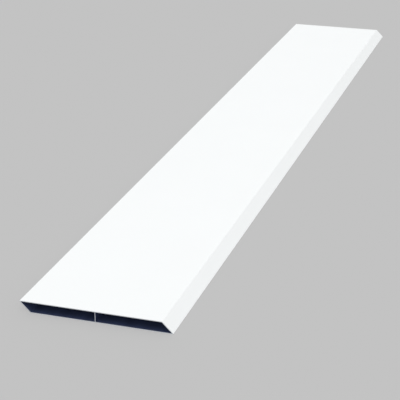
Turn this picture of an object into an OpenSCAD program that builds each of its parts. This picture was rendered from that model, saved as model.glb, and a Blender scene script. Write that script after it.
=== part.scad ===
// Fence slat: one aluminium extrusion with a parallelogram section, two hollow
// chambers and a web between them, sawn off square at both ends.
// The slat lies on a broad face. X runs across its width, Y along its length
// and Z through its thickness. The origin is the middle of the underside.

/* [Slat] */
// Length between the two sawn ends
slat_len = 1500; // [600:10:3000]
// Width of one broad face, between its corners before they are rounded
face_w = 190; // [120:1:250]
// Thickness over both broad faces
slat_t = 15; // [12:0.5:30]
// Slope of the bevelled edges, measured from the broad faces in degrees
bevel_angle = 45; // [35:1:80]

/* [Walls] */
// Thickness of the two broad walls
face_wall = 1.0; // [0.8:0.1:2.5]
// Thickness of the two bevelled edge walls
edge_wall = 1.0; // [0.8:0.1:2.5]
// Thickness of the web between the chambers
web_t = 1.0; // [0.8:0.1:3]
// How far the web stands to the right of the middle of the section
web_offset = 0; // [-30:1:30]

/* [Corners] */
// Outer radius of the two sharp corners
sharp_r = 0.4; // [0.2:0.1:1.5]
// Outer radius of the two blunt corners
blunt_r = 0.8; // [0.2:0.1:2]
// Radius of the fillets inside the chambers
fillet_r = 0.3; // [0.2:0.1:2]

/* [Hidden] */
// Degrees that a rounded corner turns in each of its steps
arc_step = 9;
// How far the underside is shifted to the right of the upper face
bevel_run = slat_t / tan(bevel_angle);
// Left end of the upper face and of the underside, about the middle of the section
upper_left = -(face_w + bevel_run) / 2;
lower_left = upper_left + bevel_run;
// Width of a bevelled edge wall, measured level
edge_wall_run = edge_wall / sin(bevel_angle);
// Heights of the chambers' floor and roof
chamber_floor = face_wall;
chamber_roof = slat_t - face_wall;
// Faces of the web
web_left = web_offset - web_t / 2;
web_right = web_offset + web_t / 2;

// Where the inner side of the left and the right edge wall stands at a height
function inner_left(height) = upper_left + (slat_t - height) / tan(bevel_angle) + edge_wall_run;
function inner_right(height) = -inner_left(slat_t - height);

// Corner number i of a convex outline, and the unit vector from it to another point
function corner(points, i) = points[(i + len(points)) % len(points)];
function direction(from, to) = (to - from) / norm(to - from);

// Half of the angle inside a corner, and the directions of its two sides
function half_angle(points, i) =
    acos(corner_sides(points, i)[0] * corner_sides(points, i)[1]) / 2;
function corner_sides(points, i) = [
    direction(corner(points, i), corner(points, i - 1)),
    direction(corner(points, i), corner(points, i + 1))
];

// Where the two sides leave the rounding of a corner, and the rounding's centre
function tangent_points(points, radii, i) = [
    for (side = corner_sides(points, i))
        corner(points, i) + side * radii[i] / tan(half_angle(points, i))
];
function round_centre(points, radii, i) =
    let (sides = corner_sides(points, i), bisector = sides[0] + sides[1])
    corner(points, i) + bisector / norm(bisector) * radii[i] / sin(half_angle(points, i));

// The points of one rounded corner, from its first side to its second
function rounded_corner(points, radii, i) =
    let (
        centre = round_centre(points, radii, i),
        start = tangent_points(points, radii, i)[0] - centre,
        first_angle = atan2(start[1], start[0]),
        sweep = 180 - 2 * half_angle(points, i),
        steps = ceil(sweep / arc_step)
    )
    [
        for (step = [0 : steps])
            let (angle = first_angle + sweep * step / steps)
            centre + radii[i] * [cos(angle), sin(angle)]
    ];

// A convex outline, drawn anticlockwise, with every corner rounded
module rounded_outline(points, radii) {
    polygon([
        for (i = [0 : len(points) - 1]) each rounded_corner(points, radii, i)
    ]);
}

// The outside of the section: two broad faces and two parallel bevelled edges
module slat_outline() {
    rounded_outline(
        [
            [upper_left, slat_t],
            [lower_left, 0],
            [-upper_left, 0],
            [-lower_left, slat_t]
        ],
        [sharp_r, blunt_r, sharp_r, blunt_r]
    );
}

// The hollow between the left edge wall and the web
module left_chamber() {
    rounded_outline(
        [
            [inner_left(chamber_roof), chamber_roof],
            [inner_left(chamber_floor), chamber_floor],
            [web_left, chamber_floor],
            [web_left, chamber_roof]
        ],
        [fillet_r, fillet_r, fillet_r, fillet_r]
    );
}

// The hollow between the web and the right edge wall
module right_chamber() {
    rounded_outline(
        [
            [web_right, chamber_roof],
            [web_right, chamber_floor],
            [inner_right(chamber_floor), chamber_floor],
            [inner_right(chamber_roof), chamber_roof]
        ],
        [fillet_r, fillet_r, fillet_r, fillet_r]
    );
}

// The whole slat: its section, extruded from end to end
module slat() {
    color("white")
        rotate([90, 0, 0])
            linear_extrude(height = slat_len, center = true)
                difference() {
                    slat_outline();
                    left_chamber();
                    right_chamber();
                }
}

slat();
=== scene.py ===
"""A white fence slat with two open chambers, lying on a plain pale floor."""
import math

import bmesh
import bpy
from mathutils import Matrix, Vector
from mathutils.geometry import delaunay_2d_cdt


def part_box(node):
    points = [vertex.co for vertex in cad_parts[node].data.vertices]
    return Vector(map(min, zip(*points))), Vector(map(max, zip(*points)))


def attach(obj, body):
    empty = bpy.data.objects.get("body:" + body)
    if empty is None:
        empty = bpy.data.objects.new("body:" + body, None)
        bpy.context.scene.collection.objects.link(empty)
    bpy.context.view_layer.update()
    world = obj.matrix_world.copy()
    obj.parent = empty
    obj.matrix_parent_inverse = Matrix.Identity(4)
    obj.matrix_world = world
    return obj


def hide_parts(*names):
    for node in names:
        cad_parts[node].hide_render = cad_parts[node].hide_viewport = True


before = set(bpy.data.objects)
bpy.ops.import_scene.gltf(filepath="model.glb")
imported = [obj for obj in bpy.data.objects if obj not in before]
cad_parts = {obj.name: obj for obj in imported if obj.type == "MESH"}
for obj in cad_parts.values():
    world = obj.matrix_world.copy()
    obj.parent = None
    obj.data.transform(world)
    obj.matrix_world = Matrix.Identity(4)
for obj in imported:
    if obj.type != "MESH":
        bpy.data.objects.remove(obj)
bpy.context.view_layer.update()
low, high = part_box("slat")

# The slat's section and ends, in metres. The overall size comes from the frame.
LENGTH = high.y - low.y
THICKNESS = high.z - low.z
BEVEL_ANGLE = math.radians(45)
FACE_WALL = 0.0010
EDGE_WALL = 0.0010
WEB = 0.0010
SHARP_RADIUS = 0.0004
BLUNT_RADIUS = 0.0008
FILLET_RADIUS = 0.0003
# How far the saw's burr is filed off round the cuts
EDGE_BREAK = 0.0001

# The most that one step of an arc turns
ARC_STEP = math.radians(5)
# The rounding error that is let pass when the steps of an arc are counted
STEP_SLACK = 1e-6
# Asks the fill of a cut for the triangles inside its outer ring
TRIANGLES_INSIDE = 1
# Points of a cut that lie nearer to each other than this are one point
SAME_POINT = 1e-9
# An edge whose faces turn by more than this is shaded sharp
SHARP_TURN = math.radians(20)
# How much broad faces count in the shading of the rounded corners: 50 is by their area, 100 the most
BROAD_FACE_WEIGHT = 100
# The slat's materials, by their numbers in its mesh
PAINT, CHAMBER, METAL = range(3)

# Colours, linear
PAINT_COLOUR = (0.903, 0.923, 0.927)
# Painted shade: the chambers' walls get this dark navy for the shade that fills the hollows
CHAMBER_SHADE_COLOUR = (0.0375, 0.0515, 0.110)
METAL_COLOUR = (0.91, 0.945, 0.995)
# The photograph's grey, as the camera and reflections see it
FLOOR_LOOK = (0.545, 0.545, 0.545)
# The floor's own colour, which comes out as that grey in this light and takes the shadow
FLOOR_COLOUR = (0.505, 0.505, 0.505)
# Share of the floor's look that no shadow reaches
PLAIN_SHARE = 0.7
# Nearly all of a noise lies between these two values
NOISE_FROM = 0.3
NOISE_TO = 0.7
# The saw's centre. It stands off the slat, so the marks are long arcs.
SAW_CENTRE = (0.05, 0.0, -0.16)

# Strength of the even light from all sides
WORLD_LIGHT = 0.745
# Length of the floor's sides
FLOOR_SIZE = 40.0

# The photograph's camera, with its lens and sensor in millimetres and its reach in metres
CAMERA_PLACE = (0.5309, -2.0029, 0.7121)
CAMERA_FORWARD = (-0.27869, 0.88400, -0.37533)
CAMERA_LENS = 110.78
CAMERA_SENSOR = 36.0
CAMERA_REACH = 200.0


def add_object(name, data):
    """An object that shows this mesh, lamp or camera in the scene."""
    thing = bpy.data.objects.new(name, data)
    bpy.context.scene.collection.objects.link(thing)
    return thing


def section_corners():
    """The ideal corners of the outside and of both chambers, each anticlockwise in X and Z."""
    slant = THICKNESS / math.tan(BEVEL_ANGLE)
    # A rounded sharp corner ends this far short of the ideal one
    shortfall = SHARP_RADIUS * (1 / math.tan(BEVEL_ANGLE / 2) - 1)
    tip = high.x + shortfall
    root = tip - slant
    wall_run = EDGE_WALL / math.sin(BEVEL_ANGLE)
    floor = FACE_WALL
    roof = THICKNESS - FACE_WALL
    half_web = WEB / 2

    def inner_side(height):
        return tip - height / math.tan(BEVEL_ANGLE) - wall_run

    outside = [(-tip, THICKNESS), (-root, 0), (tip, 0), (root, THICKNESS)]
    right = [
        (half_web, roof),
        (half_web, floor),
        (inner_side(floor), floor),
        (inner_side(roof), roof),
    ]
    left = [(-x, THICKNESS - z) for x, z in right]
    return outside, left, right


def rounded(corners, radii, grow):
    """A convex outline with its corners rounded, moved outwards by grow."""
    points = []
    for i, corner in enumerate(corners):
        here = Vector(corner)
        to_last = (Vector(corners[i - 1]) - here).normalized()
        to_next = (Vector(corners[(i + 1) % len(corners)]) - here).normalized()
        half = to_last.angle(to_next) / 2
        centre = here + (to_last + to_next).normalized() * radii[i] / math.sin(half)
        start = here + to_last * radii[i] / math.tan(half) - centre
        first = math.atan2(start.y, start.x)
        sweep = math.pi - 2 * half
        steps = math.ceil(sweep / ARC_STEP - STEP_SLACK)
        for step in range(steps + 1):
            angle = first + sweep * step / steps
            points.append(centre + Vector((math.cos(angle), math.sin(angle))) * (radii[i] + grow))
    return points


def add_ring(bm, outline, y):
    """One loop of vertices round an outline, at a place along the slat."""
    return [bm.verts.new((point.x, y, point.y)) for point in outline]


def add_band(bm, ring_a, ring_b, material, hollow):
    """The faces from ring_a to ring_b, further along Y. They face out, or into a hollow."""
    count = len(ring_a)
    for i in range(count):
        j = (i + 1) % count
        corners = [ring_a[i], ring_b[i], ring_b[j], ring_a[j]]
        if hollow:
            corners.reverse()
        bm.faces.new(corners).material_index = material


def add_cut(bm, rings, material, facing):
    """The sawn face between the outside, the first ring, and the chambers, the other rings.

    It faces along Y where facing is positive, and the other way where it is negative.
    """
    verts = []
    edges = []
    owner = []
    for number, ring in enumerate(rings):
        first = len(verts)
        for i, vert in enumerate(ring):
            verts.append(vert)
            edges.append((first + i, first + (i + 1) % len(ring)))
            owner.append(number)
    points = [vert.co.xz for vert in verts]
    # The fill gives its points, its edges, its faces and where each of them came from
    _, _, triangles, *_ = delaunay_2d_cdt(points, edges, [], TRIANGLES_INSIDE, SAME_POINT)
    for triangle in triangles:
        # A triangle with all its corners on one chamber lies in the hollow
        met = {owner[i] for i in triangle}
        if len(met) == 1 and 0 not in met:
            continue
        corners = [verts[i] for i in triangle]
        if facing > 0:
            corners.reverse()
        bm.faces.new(corners).material_index = material


def make_slat():
    """The painted skin, the bare chambers and the two sawn ends, as one closed mesh."""
    outside, left, right = section_corners()
    outside_radii = [SHARP_RADIUS, BLUNT_RADIUS, SHARP_RADIUS, BLUNT_RADIUS]
    chamber_radii = [FILLET_RADIUS] * 4
    end = LENGTH / 2
    # Places along the slat, each with how much of the edge break it has
    stations = [
        (-end, EDGE_BREAK),
        (EDGE_BREAK - end, 0.0),
        (end - EDGE_BREAK, 0.0),
        (end, EDGE_BREAK),
    ]
    # Outlines with their radii, whether they bound a hollow, and the materials between the stations
    shapes = [
        (outside, outside_radii, False, [METAL, PAINT, METAL]),
        (left, chamber_radii, True, [CHAMBER, CHAMBER, CHAMBER]),
        (right, chamber_radii, True, [CHAMBER, CHAMBER, CHAMBER]),
    ]

    bm = bmesh.new()
    front_rings = []
    rear_rings = []
    for corners, radii, hollow, bands in shapes:
        rings = []
        for y, edge_break in stations:
            grow = edge_break if hollow else -edge_break
            rings.append(add_ring(bm, rounded(corners, radii, grow), y))
        for k, material in enumerate(bands):
            add_band(bm, rings[k], rings[k + 1], material, hollow)
        front_rings.append(rings[0])
        rear_rings.append(rings[-1])
    add_cut(bm, front_rings, METAL, facing=-1)
    add_cut(bm, rear_rings, METAL, facing=1)
    bm.normal_update()

    mesh = bpy.data.meshes.new("slat_profile")
    bm.to_mesh(mesh)
    bm.free()
    mesh.shade_smooth()
    mesh.set_sharp_from_angle(angle=SHARP_TURN)
    piece = add_object("slat_profile", mesh)
    even = piece.modifiers.new("Even normals", "WEIGHTED_NORMAL")
    even.keep_sharp = True
    even.weight = BROAD_FACE_WEIGHT
    return piece


class Nodes:
    """A short way to add and link the nodes of one tree."""

    def __init__(self, tree):
        self.tree = tree
        tree.nodes.clear()

    def add(self, kind, **settings):
        """A new node with these settings."""
        node = self.tree.nodes.new(kind)
        for name, value in settings.items():
            setattr(node, name, value)
        return node

    def link(self, source, target):
        """Feed one node's output to another's input."""
        self.tree.links.new(source, target)

    def noise(self, place, scale, detail=2.0, roughness=0.5):
        """A noise that follows the place."""
        node = self.add("ShaderNodeTexNoise")
        node.inputs["Scale"].default_value = scale
        node.inputs["Detail"].default_value = detail
        node.inputs["Roughness"].default_value = roughness
        self.link(place, node.inputs["Vector"])
        return node.outputs["Fac"]

    def stretched(self, place, scale):
        """The place scaled along each axis. A small scale draws a pattern out along it."""
        node = self.add("ShaderNodeMapping")
        node.inputs["Scale"].default_value = scale
        self.link(place, node.inputs["Vector"])
        return node.outputs["Vector"]

    def ramp(self, noise, least, most):
        """A noise spread from the least value to the most."""
        node = self.add("ShaderNodeMapRange")
        node.inputs["From Min"].default_value = NOISE_FROM
        node.inputs["From Max"].default_value = NOISE_TO
        node.inputs["To Min"].default_value = least
        node.inputs["To Max"].default_value = most
        self.link(noise, node.inputs["Value"])
        return node.outputs["Result"]

    def blend(self, noise, colour_a, colour_b):
        """A colour that drifts between two colours as the noise does."""
        node = self.add("ShaderNodeMix", data_type="RGBA")
        node.inputs["A"].default_value = (*colour_a, 1)
        node.inputs["B"].default_value = (*colour_b, 1)
        self.link(self.ramp(noise, 0.0, 1.0), node.inputs["Factor"])
        return node.outputs["Result"]

    def bump(self, noise, distance, normal=None):
        """A relief that is this many metres high, laid over another one where normal is given."""
        node = self.add("ShaderNodeBump")
        node.inputs["Distance"].default_value = distance
        self.link(noise, node.inputs["Height"])
        if normal is not None:
            self.link(normal, node.inputs["Normal"])
        return node.outputs["Normal"]

    def show_mix(self, share, look_a, look_b, output_kind):
        """Show look_a where the share is 0 and look_b where it is 1."""
        mix = self.add("ShaderNodeMixShader")
        self.link(share, mix.inputs["Fac"])
        self.link(look_a, mix.inputs[1])
        self.link(look_b, mix.inputs[2])
        output = self.add(output_kind)
        self.link(mix.outputs["Shader"], output.inputs["Surface"])


def new_material(name):
    """A material and its nodes, which are still to be added."""
    material = bpy.data.materials.new(name)
    material.use_nodes = True
    return material, Nodes(material.node_tree)


def new_finish(name):
    """A material for the slat, its nodes, its shader and the place that its patterns follow."""
    material, nodes = new_material(name)
    shader = nodes.add("ShaderNodeBsdfPrincipled")
    output = nodes.add("ShaderNodeOutputMaterial")
    nodes.link(shader.outputs["BSDF"], output.inputs["Surface"])
    place = nodes.add("ShaderNodeTexCoord").outputs["Object"]
    return material, nodes, shader, place


def shade(colour, factor):
    """A colour made darker or lighter."""
    return tuple(channel * factor for channel in colour)


def white_powder_coat():
    """Satin white powder coat: a fine orange peel over a faint long waviness."""
    material, nodes, shader, place = new_finish("white_powder_coat")
    cloud = nodes.noise(place, scale=9.0, detail=3.0)
    speck = nodes.noise(place, scale=700.0)
    peel = nodes.noise(place, scale=420.0)
    wave = nodes.noise(nodes.stretched(place, (1.0, 0.25, 1.0)), scale=14.0)
    colour = nodes.blend(cloud, shade(PAINT_COLOUR, 0.992), PAINT_COLOUR)
    nodes.link(colour, shader.inputs["Base Color"])
    nodes.link(nodes.ramp(speck, least=0.42, most=0.50), shader.inputs["Roughness"])
    shader.inputs["Specular IOR Level"].default_value = 0.3
    waviness = nodes.bump(wave, distance=0.0004)
    nodes.link(nodes.bump(peel, distance=0.00003, normal=waviness), shader.inputs["Normal"])
    return material


def chamber_painted_shade():
    """The chambers' walls, painted dark navy for the shade inside them, with fine lines drawn along
    them by the die.
    """
    material, nodes, shader, place = new_finish("chamber_painted_shade")
    along = nodes.stretched(place, (1.0, 0.004, 1.0))
    lines = nodes.noise(along, scale=1600.0, detail=3.0, roughness=0.6)
    cloud = nodes.noise(nodes.stretched(place, (1.0, 0.2, 1.0)), scale=60.0)
    # The painted shade of the chambers, a little uneven along them
    colour = nodes.blend(cloud, shade(CHAMBER_SHADE_COLOUR, 0.85), shade(CHAMBER_SHADE_COLOUR, 1.1))
    nodes.link(colour, shader.inputs["Base Color"])
    nodes.link(nodes.ramp(lines, least=0.42, most=0.58), shader.inputs["Roughness"])
    nodes.link(nodes.bump(lines, distance=0.00002), shader.inputs["Normal"])
    return material


def sawn_aluminium():
    """Bare aluminium with the shallow arcs that a circular saw leaves."""
    material, nodes, shader, place = new_finish("sawn_aluminium")
    shader.inputs["Metallic"].default_value = 1.0
    # The marks change only with the distance from the saw's centre, measured in the cut
    offset = nodes.add("ShaderNodeVectorMath", operation="SUBTRACT")
    offset.inputs[1].default_value = SAW_CENTRE
    nodes.link(place, offset.inputs[0])
    in_cut = nodes.stretched(offset.outputs["Vector"], (1.0, 0.0, 1.0))
    distance = nodes.add("ShaderNodeVectorMath", operation="LENGTH")
    nodes.link(in_cut, distance.inputs[0])
    along = nodes.add("ShaderNodeCombineXYZ")
    nodes.link(distance.outputs["Value"], along.inputs["X"])
    marks = nodes.noise(along.outputs["Vector"], scale=2500.0, detail=3.0, roughness=0.6)
    colour = nodes.blend(marks, shade(METAL_COLOUR, 0.88), METAL_COLOUR)
    nodes.link(colour, shader.inputs["Base Color"])
    nodes.link(nodes.ramp(marks, least=0.52, most=0.66), shader.inputs["Roughness"])
    nodes.link(nodes.bump(marks, distance=0.00004), shader.inputs["Normal"])
    return material


def seen_directly(nodes):
    """1 for rays from the camera, from gloss and through glass, and 0 for the rays that light."""
    path = nodes.add("ShaderNodeLightPath")
    share = path.outputs["Is Camera Ray"]
    for name in ("Is Glossy Ray", "Is Transmission Ray"):
        either = nodes.add("ShaderNodeMath", operation="MAXIMUM")
        nodes.link(share, either.inputs[0])
        nodes.link(path.outputs[name], either.inputs[1])
        share = either.outputs["Value"]
    return share


def floor_grey():
    """The photograph's grey, part of which takes the slat's shadow."""
    material, nodes = new_material("floor")
    matt = nodes.add("ShaderNodeBsdfPrincipled")
    matt.inputs["Base Color"].default_value = (*FLOOR_COLOUR, 1)
    matt.inputs["Roughness"].default_value = 1.0
    matt.inputs["Specular IOR Level"].default_value = 0.0
    plain = nodes.add("ShaderNodeEmission")
    plain.inputs["Color"].default_value = (*FLOOR_LOOK, 1)
    share = nodes.add("ShaderNodeMath", operation="MULTIPLY")
    nodes.link(seen_directly(nodes), share.inputs[0])
    share.inputs[1].default_value = PLAIN_SHARE
    nodes.show_mix(
        share.outputs["Value"],
        matt.outputs["BSDF"],
        plain.outputs["Emission"],
        "ShaderNodeOutputMaterial",
    )
    return material


def make_floor():
    """A wide plain floor."""
    bm = bmesh.new()
    bmesh.ops.create_grid(bm, x_segments=1, y_segments=1, size=FLOOR_SIZE / 2)
    mesh = bpy.data.meshes.new("floor")
    bm.to_mesh(mesh)
    bm.free()
    mesh.materials.append(floor_grey())
    floor = add_object("floor", mesh)


def make_world():
    """Even white light, seen as the photograph's grey by the camera and in reflections."""
    world = bpy.data.worlds.new("studio")
    bpy.context.scene.world = world
    world.use_nodes = True
    nodes = Nodes(world.node_tree)
    light = nodes.add("ShaderNodeBackground")
    light.inputs["Color"].default_value = (1, 1, 1, 1)
    light.inputs["Strength"].default_value = WORLD_LIGHT
    seen = nodes.add("ShaderNodeBackground")
    seen.inputs["Color"].default_value = (*FLOOR_LOOK, 1)
    nodes.show_mix(
        seen_directly(nodes),
        light.outputs["Background"],
        seen.outputs["Background"],
        "ShaderNodeOutputWorld",
    )


def add_lamp(name, direction, softness, strength, mirrored=False):
    """A far lamp, so many degrees wide, which shines evenly on the whole slat.

    Gloss shows it only where it is mirrored.
    """
    data = bpy.data.lights.new(name, "SUN")
    data.angle = math.radians(softness)
    data.energy = strength
    lamp = add_object(name, data)
    lamp.rotation_euler = (-Vector(direction)).to_track_quat("-Z", "Y").to_euler()
    lamp.visible_glossy = mirrored


def add_camera():
    """The photograph's camera."""
    data = bpy.data.cameras.new("camera")
    data.sensor_width = CAMERA_SENSOR
    data.lens = CAMERA_LENS
    data.clip_end = CAMERA_REACH
    camera = add_object("camera", data)
    camera.location = CAMERA_PLACE
    camera.rotation_euler = Vector(CAMERA_FORWARD).to_track_quat("-Z", "Y").to_euler()
    bpy.context.scene.camera = camera


slat = make_slat()
# In the order of PAINT, CHAMBER and METAL
for make_material in (white_powder_coat, chamber_painted_shade, sawn_aluminium):
    slat.data.materials.append(make_material())
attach(slat, "root")
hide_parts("slat")

add_camera()
make_floor()
make_world()
add_lamp("key", direction=(0.08, -0.3, 0.95), softness=60, strength=0.70)
add_lamp("front", direction=(0.28, -0.88, 0.36), softness=30, strength=0.86)
# The photograph's camera sees the sheen of this one all along the top
add_lamp("back", direction=(-0.28, 0.88, 0.375), softness=50, strength=0.18, mirrored=True)
bpy.context.scene.view_settings.view_transform = "Standard"
